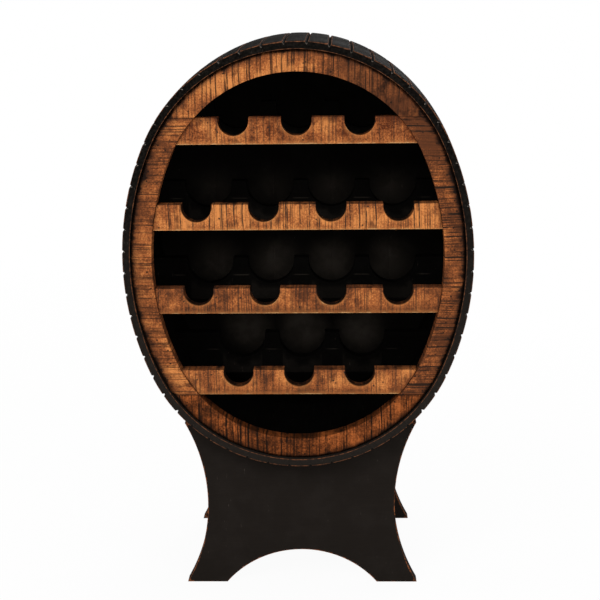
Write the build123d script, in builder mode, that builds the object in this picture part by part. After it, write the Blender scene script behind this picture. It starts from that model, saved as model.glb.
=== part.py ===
from build123d import *

import os
from math import atan2, cos, degrees, radians, sin, sqrt

# Wine rack: an oval barrel lying on its side, on a stand of two panels. Millimetres, +Z up, the mouth faces -Y.
# The origin is on the floor, under the middle of the barrel.

# Barrel: an oval of four arcs, taller than it is wide
barrel_width = 523.0
barrel_extra_height = 121.0
end_arc_shortfall = 16.5
barrel_depth = 360.0
barrel_lift = 212.0

# Staves, with a slight belly outside and a straight inside, thinned at both mouths to seat the ring and the back
stave_bulge = 4.0
stave_mouth = 11.0
seat_step = 3.0
end_stave_count = 17
side_stave_count = 11
groove_width = 5.0
groove_depth = 4.2

# Head ring
ring_recess = 5.0
ring_thickness = 25.0
ring_width = 32.0
ring_bevel = 4.0

# Rails for the bottle necks, in four rows
rail_recess = 4.0
rail_thickness = 22.0
rail_height = 39.0
row_count = 4
row_pitch = 127.5
rows_rise = 2.25
short_row_notches = 3
long_row_notches = 4
short_row_pitch = 92.5
bottle_pitch = 100.0
neck_notch_width = 45.0
neck_notch_depth = 26.7

# Rails for the bottle bodies, further in
cradle_setback = 196.0
cradle_rise = 7.0
cradle_thickness = 22.0
cradle_height = 70.0
body_notch_width = 76.0
body_notch_depth = 43.0

# Cleats on the barrel wall behind the cradle rails
cleat_width = 22.0
cleat_depth = 20.0
cleat_margin = 8.0

# Back of the barrel, of tongued and grooved boards
back_recess = 10.0
back_thickness = 14.0
back_board_count = 5
board_bevel = 2.0
tongue_length = 6.0
tongue_thickness = 5.0

# Stand panels
panel_margin = 40.0
panel_thickness = 22.0
stand_foot_spread = 368.0
foot_length = 64.0
arch_rise = 56.0
waist_width = 296.0
waist_height = 137.0
shoulder_width = 362.0
shoulder_rise = 57.0

# Stretchers between the panels
stretcher_spread = 190.0
stretcher_thickness = 20.0
stretcher_height = 50.0
stretcher_drop = 42.0
tenon_length = 12.0
tenon_shoulder = 4.0

# Dowels
rail_dowel_diameter = 8.0
rail_dowel_length = 32.0
rail_dowel_spread = 20.0
ring_dowel_diameter = 6.0
ring_dowel_length = 24.0
ring_dowel_depth = 6.0

# Screws
shank_diameter = 4.5
head_diameter = 9.0
head_height = 3.0
stand_screw_length = 42.0
stand_screw_cover = 9.0
cradle_screw_bite = 14.0

# Clearances
fit_gap = 0.2
dowel_gap = 0.1
screw_gap = 0.25
head_gap = 1.0

# Worked out from the sizes above
half_width = barrel_width / 2
half_height = half_width + barrel_extra_height / 2
end_radius = half_width - end_arc_shortfall
end_offset = half_height - end_radius
side_radius = half_height + (half_height - half_width) ** 2 / (2 * end_arc_shortfall)
side_offset = side_radius - half_width
end_half_angle = degrees(atan2(side_offset, end_offset))
side_half_angle = 90 - end_half_angle
end_step = 2 * end_half_angle / end_stave_count
side_step = 2 * side_half_angle / side_stave_count
half_depth = barrel_depth / 2
barrel_centre = barrel_lift + half_height
stave_wall = stave_mouth + seat_step
bulge_radius = (half_depth**2 + stave_bulge**2) / (2 * stave_bulge)

ring_front = -half_depth + ring_recess
ring_back = ring_front + ring_thickness
ring_outer = stave_mouth + fit_gap
ring_inner = stave_mouth + ring_width
rail_front = ring_front + rail_recess
rail_middle = rail_front + rail_thickness / 2
cradle_front = rail_front + cradle_setback
cradle_back = cradle_front + cradle_thickness
back_rear = half_depth - back_recess
back_front = back_rear - back_thickness

top_row = barrel_centre + rows_rise + ((row_count - 1) * row_pitch + rail_height) / 2
row_tops = [top_row - row_pitch * row for row in range(row_count)]
ring_joint_top = row_tops[0]
ring_joint_bottom = row_tops[-1] - rail_height
shoulder_height = barrel_lift + shoulder_rise
panel_middle = half_depth - panel_margin - panel_thickness / 2
stretcher_top = barrel_lift - stretcher_drop
stretcher_middle = stretcher_top - stretcher_height / 2
panel_gap = 2 * panel_middle - panel_thickness


def facing_front(y, z=0.0):
    """A drawing plane that faces the front, with X to the right and Z up."""
    return Plane((0, y, z), (1, 0, 0), (0, -1, 0))


def bulge_at(y):
    """How far the staves stand out, at a place along the barrel, over their height at the mouth."""
    return stave_bulge - bulge_radius + sqrt(bulge_radius**2 - y**2)


def half_chord(inset, rise):
    """Half the width of the oval drawn an inset inside the barrel, at a height over its centre."""
    end_start = end_offset + (end_radius - inset) * cos(radians(end_half_angle))
    if abs(rise) > end_start:
        return sqrt((end_radius - inset) ** 2 - (abs(rise) - end_offset) ** 2)
    return sqrt((side_radius - inset) ** 2 - rise**2) - side_offset


def oval(inset, mode=Mode.ADD):
    """The barrel's oval drawn an inset inside its outer edge, in the sketch that is open."""
    with BuildLine() as outline:
        CenterArc((0, end_offset), end_radius - inset, 90 - end_half_angle, 2 * end_half_angle)
        CenterArc((side_offset, 0), side_radius - inset, 180 - side_half_angle, 2 * side_half_angle)
        CenterArc((0, -end_offset), end_radius - inset, 270 - end_half_angle, 2 * end_half_angle)
        CenterArc((-side_offset, 0), side_radius - inset, -side_half_angle, 2 * side_half_angle)
    make_face(outline.edges(), mode=mode)


def save(piece, name):
    """Label a finished piece and write it to its own file."""
    piece.part.label = name
    export_step(piece.part, f"parts/{name}.step")


def row_notches(row):
    """How many bottles lie in a row: the first and last rows are short."""
    return short_row_notches if row in (0, row_count - 1) else long_row_notches


def neck_pitch(row):
    """Spacing of the neck notches in a row."""
    return short_row_pitch if row in (0, row_count - 1) else bottle_pitch


def spread(count, pitch):
    """Places of a row of evenly spaced things, centred on zero."""
    return [(index - (count - 1) / 2) * pitch for index in range(count)]


os.makedirs("parts", exist_ok=True)

# Screws that hold the barrel to the stand go through the staves next to the lowest one
stand_screw_x = end_radius * sin(radians(end_step))
stand_screw_seat = barrel_lift + end_radius * (1 - cos(radians(end_step))) + stand_screw_cover
stand_screw_spots = [(stand_screw_x, side * panel_middle, stand_screw_seat) for side in (-1, 1)]


def make_stave(centre, radius, start, sweep, paired=False, screwed=False):
    """A stave of one arc of the oval, from a start angle off the vertical, with its mirror image if paired."""
    outward = Plane(
        (centre[0], 0, centre[1]), (0, 1, 0), (cos(radians(start)), 0, -sin(radians(start)))
    )
    front_seat = ring_recess + ring_thickness
    rear_seat = back_recess + back_thickness
    mouth = radius - stave_mouth
    wall = radius - stave_wall
    with BuildPart() as stave:
        with BuildSketch(outward):
            with BuildLine():
                ThreePointArc((-half_depth, radius), (0, radius + stave_bulge), (half_depth, radius))
                Polyline(
                    (half_depth, radius),
                    (half_depth, mouth),
                    (half_depth - rear_seat, mouth),
                    (half_depth - rear_seat, wall),
                    (front_seat - half_depth, wall),
                    (front_seat - half_depth, mouth),
                    (-half_depth, mouth),
                    (-half_depth, radius),
                )
            make_face()
        revolve(axis=Axis((centre[0], 0, centre[1]), (0, 1, 0)), revolution_arc=sweep)
        long_edges = stave.edges().sort_by(Edge.length)[-2:]
        outer_face = stave.faces().sort_by(Face.area)[-1]
        chamfer(long_edges, length=groove_width / 2, length2=groove_depth, reference=outer_face)
        if screwed:
            with Locations(*[(x, y, z + stave_wall) for x, y, z in stand_screw_spots]):
                CounterBoreHole(
                    radius=shank_diameter / 2 + screw_gap,
                    counter_bore_radius=head_diameter / 2 + head_gap,
                    counter_bore_depth=stave_wall,
                )
        if paired:
            mirror(about=Plane.YZ)
    return stave


# Staves: one at the top, one at the bottom and mirrored pairs down both sides
upper_centre = (0, barrel_centre + end_offset)
lower_centre = (0, barrel_centre - end_offset)
right_centre = (-side_offset, barrel_centre)
end_pairs = end_stave_count // 2
save(make_stave(upper_centre, end_radius, -end_step / 2, end_step), "stave_top")
for index in range(end_pairs):
    start = (index + 0.5) * end_step
    save(make_stave(upper_centre, end_radius, start, end_step, True), f"stave_pair_{index + 1:02d}")
for index in range(side_stave_count):
    start = end_half_angle + index * side_step
    number = end_pairs + index + 1
    save(make_stave(right_centre, side_radius, start, side_step, True), f"stave_pair_{number:02d}")
for index in range(end_pairs):
    start = 180 - end_half_angle + index * end_step
    number = end_pairs + side_stave_count + index + 1
    lowest = index == end_pairs - 1
    stave_pair = make_stave(lower_centre, end_radius, start, end_step, True, screwed=lowest)
    save(stave_pair, f"stave_pair_{number:02d}")
save(make_stave(lower_centre, end_radius, 180 - end_step / 2, end_step), "stave_bottom")

# Places of the dowels: across the ring's joints, and into the ends of the neck rails
ring_middle = (ring_outer + ring_inner) / 2
ring_dowel_spots = [
    (side * half_chord(ring_middle, joint - barrel_centre), ring_front + ring_dowel_depth, joint)
    for side in (-1, 1)
    for joint in (ring_joint_top, ring_joint_bottom)
]


def rail_dowel_spots(row):
    """Middles of the dowels in both ends of a neck rail, on the ring's inner edge."""
    heights = [row_tops[row] - rail_height / 2 + offset for offset in spread(2, rail_dowel_spread)]
    return [
        (side * half_chord(ring_inner, height - barrel_centre), rail_middle, height)
        for side in (-1, 1)
        for height in heights
    ]


all_rail_dowel_spots = [spot for row in range(row_count) for spot in rail_dowel_spots(row)]


def drill_ring_dowels(gap=dowel_gap, mode=Mode.SUBTRACT):
    """Upright dowels across the ring's joints, or their holes, in the part that is open."""
    with Locations(*ring_dowel_spots):
        Cylinder(ring_dowel_diameter / 2 + gap, ring_dowel_length + 2 * gap, mode=mode)


def drill_rail_dowels(spots, gap=dowel_gap, mode=Mode.SUBTRACT):
    """Level dowels between neck rails and ring, or their holes, in the part that is open."""
    with Locations(*[Location(spot, (0, 90, 0)) for spot in spots]):
        Cylinder(rail_dowel_diameter / 2 + gap, rail_dowel_length + 2 * gap, mode=mode)


def make_ring_segment(window):
    """The part of the head ring that lies in a window of the front view: its centre and its size."""
    with BuildPart() as segment:
        with BuildSketch(facing_front(ring_front, barrel_centre)):
            oval(ring_outer)
            oval(ring_inner, mode=Mode.SUBTRACT)
        extrude(amount=-ring_thickness)
        front_face = segment.faces().sort_by(Axis.Y)[0]
        chamfer(front_face.outer_wire().edges(), length=ring_bevel)
        middle, size = window
        with Locations((middle[0], (ring_front + ring_back) / 2, middle[1])):
            Box(size[0], 2 * ring_thickness, size[1], mode=Mode.INTERSECT)
        drill_ring_dowels()
        drill_rail_dowels(all_rail_dowel_spots)
    return segment


# Head ring: the top and bottom segments lie beyond the joints, the side segments between them
joint_span = ring_joint_top - ring_joint_bottom
joint_middle = (ring_joint_top + ring_joint_bottom) / 2
ring_windows = {
    "ring_top": ((0, ring_joint_top + half_height / 2), (barrel_width, half_height)),
    "ring_bottom": ((0, ring_joint_bottom - half_height / 2), (barrel_width, half_height)),
    "ring_left": ((-half_width / 2, joint_middle), (half_width, joint_span)),
    "ring_right": ((half_width / 2, joint_middle), (half_width, joint_span)),
}
for name, window in ring_windows.items():
    save(make_ring_segment(window), name)


def notch_row(xs, top, width, depth):
    """Round-bottomed notches cut down from the top edge of a rail, in the sketch that is open."""
    straight = depth - width / 2
    with Locations(*[(x, top - straight) for x in xs]):
        Circle(width / 2, mode=Mode.SUBTRACT)
    with Locations(*[(x, top) for x in xs]):
        Rectangle(width, 2 * straight, mode=Mode.SUBTRACT)


# Neck rails, scribed to the ring's inner edge
for row, top in enumerate(row_tops):
    with BuildPart() as neck_rail:
        with BuildSketch(facing_front(rail_front, barrel_centre)):
            oval(ring_inner + fit_gap)
            with Locations((0, top - barrel_centre - rail_height / 2)):
                Rectangle(barrel_width, rail_height, mode=Mode.INTERSECT)
            xs = spread(row_notches(row), neck_pitch(row))
            notch_row(xs, top - barrel_centre, neck_notch_width, neck_notch_depth)
        extrude(amount=-rail_thickness)
        drill_rail_dowels(rail_dowel_spots(row))
    save(neck_rail, f"neck_rail_{row + 1}")

with BuildPart() as rail_dowels:
    drill_rail_dowels(all_rail_dowel_spots, gap=0, mode=Mode.ADD)
save(rail_dowels, "rail_dowels")

with BuildPart() as ring_dowels:
    drill_ring_dowels(gap=0, mode=Mode.ADD)
save(ring_dowels, "ring_dowels")

# Screws that hold the cradle rails to their cleats, driven from behind
cleat_back = cradle_back + cleat_depth
cleat_outer = stave_wall + fit_gap
cradle_tops = [top + cradle_rise for top in row_tops]
cradle_screw_spots = [
    (side * half_chord(cleat_outer + cleat_width / 2, height - barrel_centre), cleat_back, height)
    for side in (-1, 1)
    for height in [top - cradle_height / 2 for top in cradle_tops]
]


def drill_cradle_screws(gap=screw_gap, mode=Mode.SUBTRACT):
    """Shanks of the cradle rails' screws, or their holes, in the part that is open."""
    with BuildSketch(facing_front(cleat_back)) as shanks:
        with Locations(*[(x, z) for x, _, z in cradle_screw_spots]):
            Circle(shank_diameter / 2 + gap)
    extrude(shanks.sketch, amount=cleat_depth + cradle_screw_bite + gap, mode=mode)


# Cradle rails, scribed to the barrel wall
for row, top in enumerate(cradle_tops):
    with BuildPart() as cradle_rail:
        with BuildSketch(facing_front(cradle_front, barrel_centre)):
            oval(stave_wall + fit_gap)
            with Locations((0, top - barrel_centre - cradle_height / 2)):
                Rectangle(barrel_width, cradle_height, mode=Mode.INTERSECT)
            xs = spread(row_notches(row), bottle_pitch)
            notch_row(xs, top - barrel_centre, body_notch_width, body_notch_depth)
        extrude(amount=-cradle_thickness)
        drill_cradle_screws()
    save(cradle_rail, f"cradle_rail_{row + 1}")

with BuildPart() as cradle_cleats:
    with BuildSketch(facing_front(cradle_back, barrel_centre)):
        oval(cleat_outer)
        oval(cleat_outer + cleat_width, mode=Mode.SUBTRACT)
        with Locations(*[(0, top - barrel_centre - cradle_height / 2) for top in cradle_tops]):
            Rectangle(barrel_width, cradle_height - 2 * cleat_margin, mode=Mode.INTERSECT)
    extrude(amount=-cleat_depth)
    drill_cradle_screws()
save(cradle_cleats, "cradle_cleats")

with BuildPart() as cradle_screws:
    drill_cradle_screws(gap=0, mode=Mode.ADD)
    with BuildSketch(facing_front(cleat_back)):
        with Locations(*[(x, z) for x, _, z in cradle_screw_spots]):
            Circle(head_diameter / 2)
    extrude(amount=-head_height)
save(cradle_screws, "cradle_screws")

# Back boards: each has a tongue on its right edge and a groove in its left edge
back_inset = stave_mouth + fit_gap
board_width = 2 * (half_width - back_inset) / back_board_count
tongue_front = back_front + (back_thickness - tongue_thickness) / 2


def board_slice(y, left, right, thickness):
    """The part of the back's oval between two uprights, in the part that is open."""
    with BuildSketch(facing_front(y, barrel_centre)) as section:
        oval(back_inset)
        with Locations(((left + right) / 2, 0)):
            Rectangle(right - left, 2 * half_height, mode=Mode.INTERSECT)
    extrude(section.sketch, amount=-thickness)


for index, middle in enumerate(spread(back_board_count, board_width)):
    left = middle - board_width / 2
    right = middle + board_width / 2
    with BuildPart() as back_board:
        board_slice(back_front, left, right, back_thickness)
        rear_face = back_board.faces().sort_by(Axis.Y)[-1]
        chamfer(rear_face.edges().filter_by(Axis.Z), length=board_bevel)
        if index < back_board_count - 1:
            board_slice(tongue_front, right, right + tongue_length, tongue_thickness)
        if index > 0:
            with Locations((left, tongue_front + tongue_thickness / 2, barrel_centre)):
                Box(
                    2 * (tongue_length + fit_gap),
                    tongue_thickness + 2 * fit_gap,
                    2 * half_height,
                    mode=Mode.SUBTRACT,
                )
    save(back_board, f"back_board_{index + 1}")

# Stand: the barrel's oval at the panels' inner faces is cut out of their tops
arch_width = stand_foot_spread - 2 * foot_length
arch_radius = ((arch_width / 2) ** 2 + arch_rise**2) / (2 * arch_rise)
cradle_cut = -bulge_at(panel_middle - panel_thickness / 2) - fit_gap


def drill_stand_screws(gap=screw_gap, mode=Mode.SUBTRACT):
    """Shanks of the stand's screws, or their holes, in the part that is open."""
    with Locations(*[(side * x, y, z) for side in (-1, 1) for x, y, z in stand_screw_spots]):
        Cylinder(
            shank_diameter / 2 + gap,
            stand_screw_length + gap,
            align=(Align.CENTER, Align.CENTER, Align.MAX),
            mode=mode,
        )


def cut_mortises():
    """Mortises for the stretchers' tenons, in the panel that is open."""
    with Locations(*[(x, 0, stretcher_middle) for x in spread(2, stretcher_spread)]):
        Box(
            stretcher_thickness - 2 * tenon_shoulder + 2 * fit_gap,
            panel_gap + 2 * (tenon_length + fit_gap),
            stretcher_height - 2 * tenon_shoulder + 2 * fit_gap,
            mode=Mode.SUBTRACT,
        )


for name, middle in (("stand_front_panel", -panel_middle), ("stand_rear_panel", panel_middle)):
    with BuildPart() as panel:
        with BuildSketch(facing_front(middle - panel_thickness / 2)):
            with BuildLine():
                foot = stand_foot_spread / 2
                shoulder = shoulder_width / 2
                Line((-foot, 0), (foot, 0))
                ThreePointArc((foot, 0), (waist_width / 2, waist_height), (shoulder, shoulder_height))
                Line((shoulder, shoulder_height), (-shoulder, shoulder_height))
                ThreePointArc((-shoulder, shoulder_height), (-waist_width / 2, waist_height), (-foot, 0))
            make_face()
            with Locations((0, arch_rise - arch_radius)):
                Circle(arch_radius, mode=Mode.SUBTRACT)
        extrude(amount=-panel_thickness)
        with BuildSketch(facing_front(middle - panel_thickness / 2, barrel_centre)):
            oval(cradle_cut)
        extrude(amount=-panel_thickness, mode=Mode.SUBTRACT)
        cut_mortises()
        drill_stand_screws()
    save(panel, name)

for name, x in zip(("stretcher_left", "stretcher_right"), spread(2, stretcher_spread)):
    with BuildPart() as stretcher:
        with Locations((x, 0, stretcher_middle)):
            Box(stretcher_thickness, panel_gap, stretcher_height)
            Box(
                stretcher_thickness - 2 * tenon_shoulder,
                panel_gap + 2 * tenon_length,
                stretcher_height - 2 * tenon_shoulder,
            )
    save(stretcher, name)

with BuildPart() as stand_screws:
    drill_stand_screws(gap=0, mode=Mode.ADD)
    with Locations(*[(side * x, y, z) for side in (-1, 1) for x, y, z in stand_screw_spots]):
        Cylinder(head_diameter / 2, head_height, align=(Align.CENTER, Align.CENTER, Align.MIN))
save(stand_screws, "stand_screws")
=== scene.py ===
import logging
import math
from contextlib import contextmanager
from dataclasses import dataclass, replace
from enum import Enum
from functools import cached_property
from typing import Callable, Iterable, Iterator, NamedTuple

import bmesh
import bpy
from mathutils import Euler, Matrix, Vector, kdtree


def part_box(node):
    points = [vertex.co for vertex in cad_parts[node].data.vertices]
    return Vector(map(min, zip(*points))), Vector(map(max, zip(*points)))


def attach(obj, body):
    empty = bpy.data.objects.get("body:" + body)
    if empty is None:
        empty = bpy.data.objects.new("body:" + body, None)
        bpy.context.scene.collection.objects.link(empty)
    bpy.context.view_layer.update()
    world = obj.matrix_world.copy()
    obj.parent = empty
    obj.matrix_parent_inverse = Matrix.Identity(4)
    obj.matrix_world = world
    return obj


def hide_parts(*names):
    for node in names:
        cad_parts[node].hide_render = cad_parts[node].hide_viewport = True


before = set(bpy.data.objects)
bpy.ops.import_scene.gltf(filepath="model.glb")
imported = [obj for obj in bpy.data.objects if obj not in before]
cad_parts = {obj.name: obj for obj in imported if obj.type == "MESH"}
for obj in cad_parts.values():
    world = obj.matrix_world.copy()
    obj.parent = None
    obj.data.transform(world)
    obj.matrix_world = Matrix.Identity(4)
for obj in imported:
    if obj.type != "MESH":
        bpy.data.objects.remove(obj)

# Wine rack: a black oval barrel of grooved staves on a two-panel stand, with a head of rough-sawn wood.
# Metres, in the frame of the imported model: +Z up, the mouth faces -Y, the origin is on the floor.

LOG = logging.getLogger("wine_rack")
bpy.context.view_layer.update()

Colour = tuple[float, float, float, float]
Triple = tuple[float, float, float]
Pair = tuple[float, float]
Node = bpy.types.Node
Socket = bpy.types.NodeSocket
Piece = bpy.types.Object
Ease = Callable[[Vector], float | None]

# Numbers that a mesh carries at its points, for its finish to read.
WEAR = "wear"
# Dark glaze, together with painted shade at the ring's outer edge, in its hole and in the rails' notches
GLAZE_AND_SHADE = "glaze_and_shade"
# Painted light: glints in the grooves' ends, and pools and lines of light inside the barrel
PAINTED_LIGHT = "painted_light"
SHADE = "shade"

WEAR_REACH = 0.025  # How far from a worn edge wear is measured
WEAR_STEP = 0.001  # The distance between the points that stand for a worn edge
SHARP = math.radians(25)  # The least angle of an edge that is softened and wears
SMOOTH = math.radians(35)  # The largest angle of an edge that is shaded smooth
FACING = 0.5  # How much of a face's direction lies along an axis that it faces
TOUCH = 0.0002  # Places closer than this count as the same
MERGE = 0.00002  # Points closer than this become one
ASKEW = Vector((math.sqrt(2), 1, math.sqrt(3)))  # A direction along which no two points are level


class Side(Enum):
    """The two sides of the rack, seen from the front."""

    LEFT = -1
    RIGHT = 1


class Axis(Enum):
    """The axes of the frame."""

    X = 0
    Y = 1
    Z = 2

    @property
    def unit(self) -> Vector:
        """The unit vector along the axis."""
        return Vector([float(index == self.value) for index in range(3)])


class Picked(Enum):
    """What of a piece is selected when it is opened."""

    NOTHING = "DESELECT"
    EVERYTHING = "SELECT"


class Carve(Enum):
    """What a cutter does to a piece."""

    TAKE_AWAY = "DIFFERENCE"
    KEEP_INSIDE = "INTERSECT"


class Ramp(Enum):
    """How a value passes from one end of a span to the other."""

    STRAIGHT = "LINEAR"
    EASED = "SMOOTHSTEP"


class SawMarks(Enum):
    """Which way the saw marks run over a board's face."""

    UPRIGHT = 0.0
    LEVEL = math.pi / 2


def srgb(red: int, green: int, blue: int) -> Colour:
    """Turns a screen colour into the linear one that a shader takes.

    Args:
        red: Red, from 0 to 255.
        green: Green, from 0 to 255.
        blue: Blue, from 0 to 255.

    Returns:
        The linear colour with full alpha.
    """
    parts = [level / 255 for level in (red, green, blue)]
    linear = [part / 12.92 if part <= 0.04045 else ((part + 0.055) / 1.055) ** 2.4 for part in parts]
    return (*linear, 1.0)


def spread(count: int, pitch: float) -> list[float]:
    """The places of a count of things, a pitch apart, evenly about zero."""
    return [(index - (count - 1) / 2) * pitch for index in range(count)]


def steps_between(low: float, high: float, pitch: float) -> list[float]:
    """The places, without the ends, that divide a length into equal steps of a pitch at most."""
    count = max(1, math.ceil((high - low) / pitch))
    return [low + (high - low) * index / count for index in range(1, count)]


# Workbench: the steps of modelling that several pieces share


def choose(*pieces: Piece) -> None:
    """Selects some pieces alone.

    Args:
        pieces: The pieces. The first becomes the active one.
    """
    bpy.ops.object.select_all(action="DESELECT")
    for piece in pieces:
        piece.select_set(True)
    bpy.context.view_layer.objects.active = pieces[0]


@contextmanager
def editing(piece: Piece, start: Picked = Picked.NOTHING) -> Iterator[None]:
    """Opens a piece in edit mode, and closes it again.

    Args:
        piece: The piece.
        start: What of it is selected at first.

    Returns:
        The context in which it is open.
    """
    choose(piece)
    bpy.ops.object.mode_set(mode="EDIT")
    bpy.ops.mesh.select_mode(type="VERT")
    bpy.ops.mesh.select_all(action=start.value)
    yield
    bpy.ops.object.mode_set(mode="OBJECT")


def let_go(piece: Piece) -> bmesh.types.BMesh:
    """Selects nothing of an open piece.

    Args:
        piece: The piece.

    Returns:
        Its mesh, in which points, edges or faces can now be selected.
    """
    mesh = bmesh.from_edit_mesh(piece.data)
    for element in (*mesh.verts, *mesh.edges, *mesh.faces):
        element.select = False
    return mesh


def pick_points(piece: Piece, test: Callable[[Vector], bool]) -> None:
    """Selects some points of an open piece, and no others.

    Args:
        piece: The piece.
        test: Says of a point's place whether it is selected.
    """
    mesh = let_go(piece)
    for point in mesh.verts:
        point.select = test(point.co)
    mesh.select_flush(True)
    bmesh.update_edit_mesh(piece.data)


def pick_edges(piece: Piece, test: Callable[[Vector, Vector], bool]) -> None:
    """Selects some edges of an open piece, and no others.

    Args:
        piece: The piece.
        test: Says of the places of an edge's two ends whether it is selected.
    """
    bpy.ops.mesh.select_mode(type="EDGE")
    mesh = let_go(piece)
    for edge in mesh.edges:
        if test(edge.verts[0].co, edge.verts[1].co):
            edge.select_set(True)
    bmesh.update_edit_mesh(piece.data)


def chamfer(width: float) -> None:
    """Bevels the selected edges of the open piece by a width, with one flat."""
    bpy.ops.mesh.bevel(offset=width, offset_type="OFFSET", segments=1, affect="EDGES")


def draw_out(move: Triple) -> None:
    """Extrudes the selected faces of the open piece by a move."""
    bpy.ops.mesh.extrude_region_move(TRANSFORM_OT_translate={"value": move})


def line_up(piece: Piece) -> None:
    """Puts a piece's points, edges and faces in the order of their places.

    Args:
        piece: The piece, which was just spun or drawn out. That leaves new ones in an order that changes
            from run to run.
    """
    with editing(piece):
        mesh = bmesh.from_edit_mesh(piece.data)
        mesh.verts.sort(key=lambda point: point.co.dot(ASKEW))
        mesh.edges.sort(key=lambda edge: (edge.verts[0].co + edge.verts[1].co).dot(ASKEW))
        mesh.faces.sort(key=lambda face: face.calc_center_median().dot(ASKEW))
        bmesh.update_edit_mesh(piece.data)
    for edge in piece.data.edges:
        edge.vertices = sorted(edge.vertices)


def settle(piece: Piece) -> None:
    """Applies a piece's place, turn and scale to its mesh."""
    choose(piece)
    bpy.ops.object.transform_apply(location=True, rotation=True, scale=True)


def added(name: str, operator: Callable[..., object], **settings: object) -> Piece:
    """Adds a new object, with nothing else selected.

    Args:
        name: Its name.
        operator: The operator that adds it.
        settings: The operator's settings by name.

    Returns:
        The object.
    """
    bpy.ops.object.select_all(action="DESELECT")
    operator(**settings)
    piece = bpy.context.active_object
    piece.name = name
    return piece


def add_block(name: str, low: Vector, high: Vector) -> Piece:
    """Adds a block between two corners.

    Args:
        name: The block's name.
        low: Its lowest corner.
        high: Its highest corner.

    Returns:
        The block.
    """
    block = added(name, bpy.ops.mesh.primitive_cube_add, size=1, location=(low + high) / 2)
    block.scale = high - low
    settle(block)
    return block


def add_sheet(name: str, low: Pair, high: Pair) -> Piece:
    """Adds a flat sheet in the upright plane along the barrel.

    Args:
        name: The sheet's name.
        low: Its lowest corner, in Y and Z.
        high: Its highest corner, in Y and Z.

    Returns:
        The sheet.
    """
    middle = (0, (low[0] + high[0]) / 2, (low[1] + high[1]) / 2)
    upright = (0, math.pi / 2, 0)
    sheet = added(name, bpy.ops.mesh.primitive_plane_add, size=1, location=middle, rotation=upright)
    sheet.scale = (high[1] - low[1], high[0] - low[0], 1)
    settle(sheet)
    return sheet


def add_bar(name: str, radius: float, place: Pair, reach: Pair, facets: int) -> Piece:
    """Adds a round bar that lies along Y.

    Args:
        name: The bar's name.
        radius: Its radius.
        place: The place of its axis, in X and Z.
        reach: Its two ends in Y.
        facets: How many flats its wall has.

    Returns:
        The bar.
    """
    bar = added(
        name,
        bpy.ops.mesh.primitive_cylinder_add,
        vertices=facets,
        radius=radius,
        depth=reach[1] - reach[0],
        location=(place[0], (reach[0] + reach[1]) / 2, place[1]),
        rotation=(math.pi / 2, 0, 0),
    )
    settle(bar)
    return bar


def slice_at(piece: Piece, axis: Axis, places: Iterable[float]) -> None:
    """Cuts new edges across a piece without parting it, and merges points that all but meet.

    Args:
        piece: The piece.
        axis: The axis that the cuts are square to.
        places: Where along the axis they are.
    """
    with editing(piece):
        for place in places:
            bpy.ops.mesh.select_all(action="SELECT")
            bpy.ops.mesh.bisect(plane_co=axis.unit * place, plane_no=axis.unit)
        bpy.ops.mesh.select_all(action="SELECT")
        bpy.ops.mesh.remove_doubles(threshold=MERGE)


def divide(piece: Piece, pitch: float) -> None:
    """Slices a piece along all three axes.

    Args:
        piece: The piece.
        pitch: How wide a face may be afterwards.
    """
    corners = [Vector(corner) for corner in piece.bound_box]
    for axis in Axis:
        reach = [corner[axis.value] for corner in corners]
        slice_at(piece, axis, steps_between(min(reach), max(reach), pitch))


def saw_off(piece: Piece, place: Vector, outward: Vector) -> None:
    """Cuts a piece at a place, removes what lies outwards and closes the cut."""
    with editing(piece, Picked.EVERYTHING):
        bpy.ops.mesh.bisect(plane_co=place, plane_no=outward, use_fill=True, clear_outer=True)


def carve(piece: Piece, cutter: Piece, way: Carve) -> None:
    """Cuts a piece with a cutter.

    Args:
        piece: The piece.
        cutter: The cutter, which is thrown away afterwards.
        way: What the cutter does.
    """
    choose(piece)
    cut = piece.modifiers.new("cut", "BOOLEAN")
    cut.operation = way.value
    cut.solver = "EXACT"
    cut.object = cutter
    bpy.ops.object.modifier_apply(modifier=cut.name)
    bpy.data.objects.remove(cutter, do_unlink=True)


def close_up(piece: Piece) -> None:
    """Merges doubled points and turns all faces outwards.

    Args:
        piece: The piece.
    """
    with editing(piece, Picked.EVERYTHING):
        bpy.ops.mesh.remove_doubles(threshold=MERGE)
        bpy.ops.mesh.normals_make_consistent(inside=False)


def joined(pieces: list[Piece], name: str) -> Piece:
    """Joins pieces into one mesh.

    Args:
        pieces: The pieces.
        name: What the whole is called.

    Returns:
        The whole.
    """
    choose(*pieces)
    if len(pieces) > 1:
        bpy.ops.object.join()
    whole = pieces[0]
    whole.name = name
    whole.data.name = name
    return whole


def copied(piece: Piece, name: str) -> Piece:
    """Copies a piece together with its mesh.

    Args:
        piece: The piece.
        name: What the copy is called.

    Returns:
        The copy.
    """
    twin = piece.copy()
    twin.data = piece.data.copy()
    twin.name = name
    twin.data.name = name
    bpy.context.scene.collection.objects.link(twin)
    return twin


def shifted(piece: Piece, name: str, move: Triple) -> Piece:
    """Copies a piece to another place.

    Args:
        piece: The piece.
        name: What the copy is called.
        move: How far the copy is from the piece.

    Returns:
        The copy.
    """
    twin = copied(piece, name)
    twin.location = move
    settle(twin)
    return twin


def mirrored(piece: Piece, name: str) -> Piece:
    """Copies a piece to the other side of the rack's centre plane.

    Args:
        piece: The piece.
        name: What the copy is called.

    Returns:
        The copy.
    """
    twin = copied(piece, name)
    twin.scale.x = -1
    settle(twin)
    close_up(twin)
    return twin


def soften(piece: Piece, width: float) -> None:
    """Rounds the sharp edges of a piece a little, as paint and handling do.

    Args:
        piece: The piece.
        width: How wide the rounding is.
    """
    choose(piece)
    bevel = piece.modifiers.new("arris", "BEVEL")
    bevel.width = width
    bevel.segments = 2
    bevel.limit_method = "ANGLE"
    bevel.angle_limit = SHARP
    bpy.ops.object.modifier_apply(modifier=bevel.name)


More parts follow.
